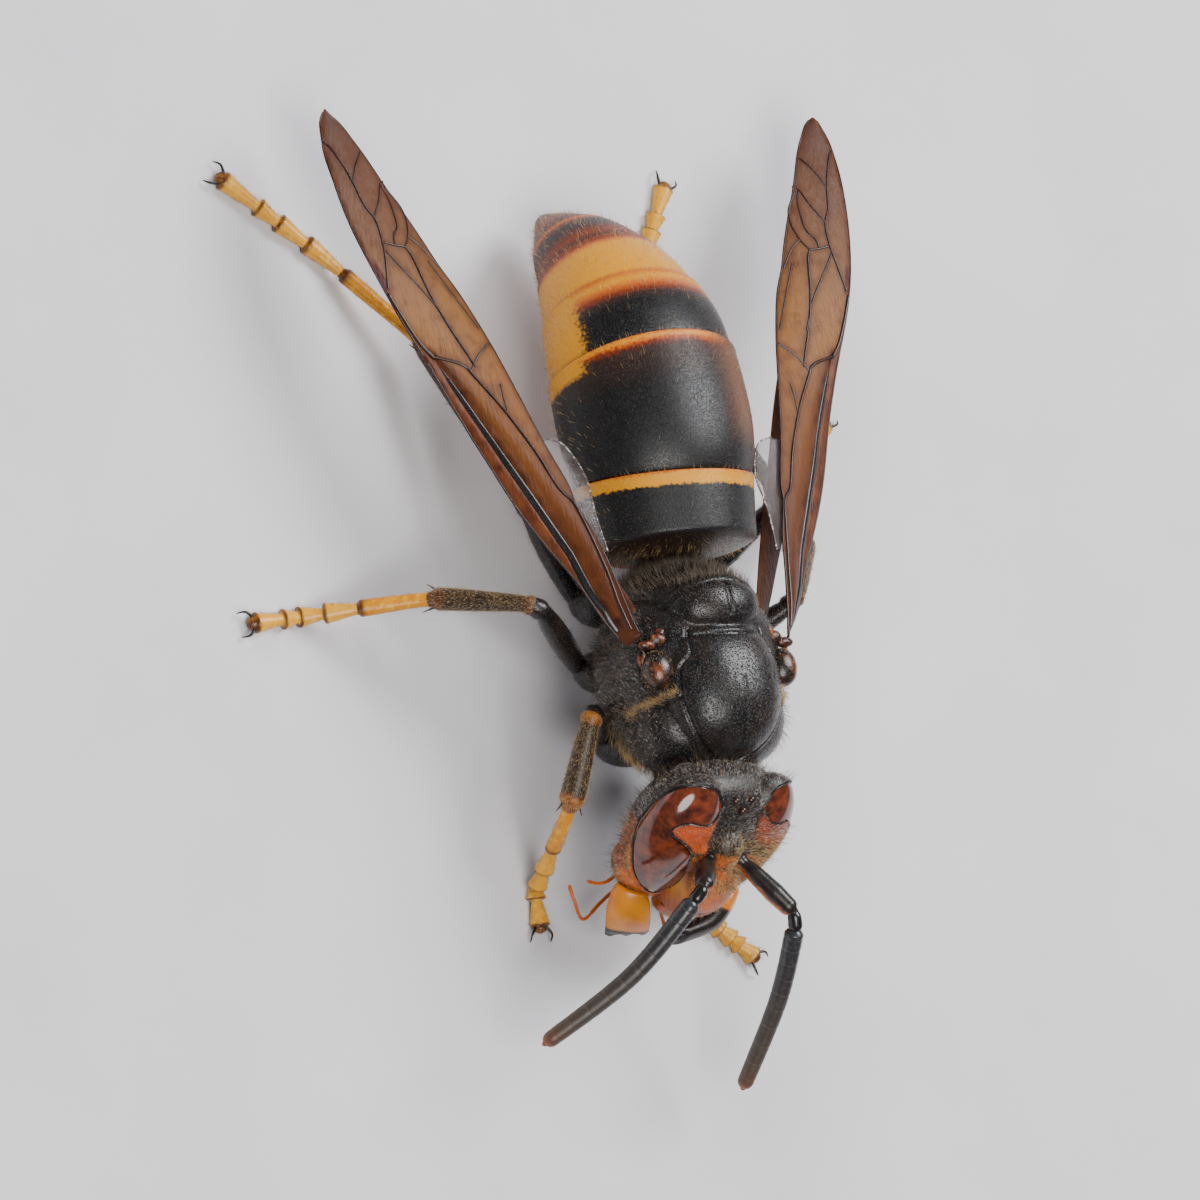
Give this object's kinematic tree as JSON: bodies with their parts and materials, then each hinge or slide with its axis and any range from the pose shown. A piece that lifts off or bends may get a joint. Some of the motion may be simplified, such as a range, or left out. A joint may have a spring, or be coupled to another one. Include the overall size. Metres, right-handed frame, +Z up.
{
  "type": "asian hornet",
  "caption": "Life-size still model of an asian hornet worker, standing head down with raised head, folded smoky wings, yellow-banded abdomen and yellow-tipped legs.",
  "frame": {"origin": "on the floor under the centre of the bounding box", "axes": "+Z up, the hornet faces -Y, its wings and abdomen trail towards +Y, +X towards its left side"},
  "size_m": [0.022, 0.029, 0.007],
  "materials": {
    "cuticle_black": "satin black cuticle with fine punctures and pale hairs",
    "cuticle_brown": "satin dark brown cuticle",
    "cuticle_orange": "glossy orange cuticle with a black toothed edge",
    "cuticle_yellow": "satin yellow cuticle",
    "wing": "clear smoky amber membrane with dark veins",
    "eye": "polished mottled red-brown"
  },
  "bodies": {
    "root": {"thorax": "cuticle_black", "head": "cuticle_black", "eye_right": "eye", "mandible_right": "cuticle_orange", "antenna_scape_right": "cuticle_brown", "antenna_flagellum_right": "cuticle_brown", "forewing_right": "wing", "hindwing_right": "wing", "eye_left": "eye", "mandible_left": "cuticle_orange", "antenna_scape_left": "cuticle_brown", "antenna_flagellum_left": "cuticle_brown", "forewing_left": "wing", "hindwing_left": "wing", "gaster_1": "cuticle_black", "gaster_2": "cuticle_black", "gaster_3": "cuticle_black", "gaster_4": "cuticle_yellow", "gaster_5": "cuticle_brown", "gaster_6": "cuticle_brown", "femur_front_right": "cuticle_black", "tibia_front_right": "cuticle_brown", "tarsus_front_right": "cuticle_yellow", "femur_front_left": "cuticle_black", "tibia_front_left": "cuticle_brown", "tarsus_front_left": "cuticle_yellow", "femur_middle_right": "cuticle_black", "tibia_middle_right": "cuticle_brown", "tarsus_middle_right": "cuticle_yellow", "femur_middle_left": "cuticle_black", "tibia_middle_left": "cuticle_brown", "tarsus_middle_left": "cuticle_yellow", "femur_hind_right": "cuticle_black", "tibia_hind_right": "cuticle_brown", "tarsus_hind_right": "cuticle_yellow", "femur_hind_left": "cuticle_black", "tibia_hind_left": "cuticle_brown", "tarsus_hind_left": "cuticle_yellow"}
  },
  "joints": []
}
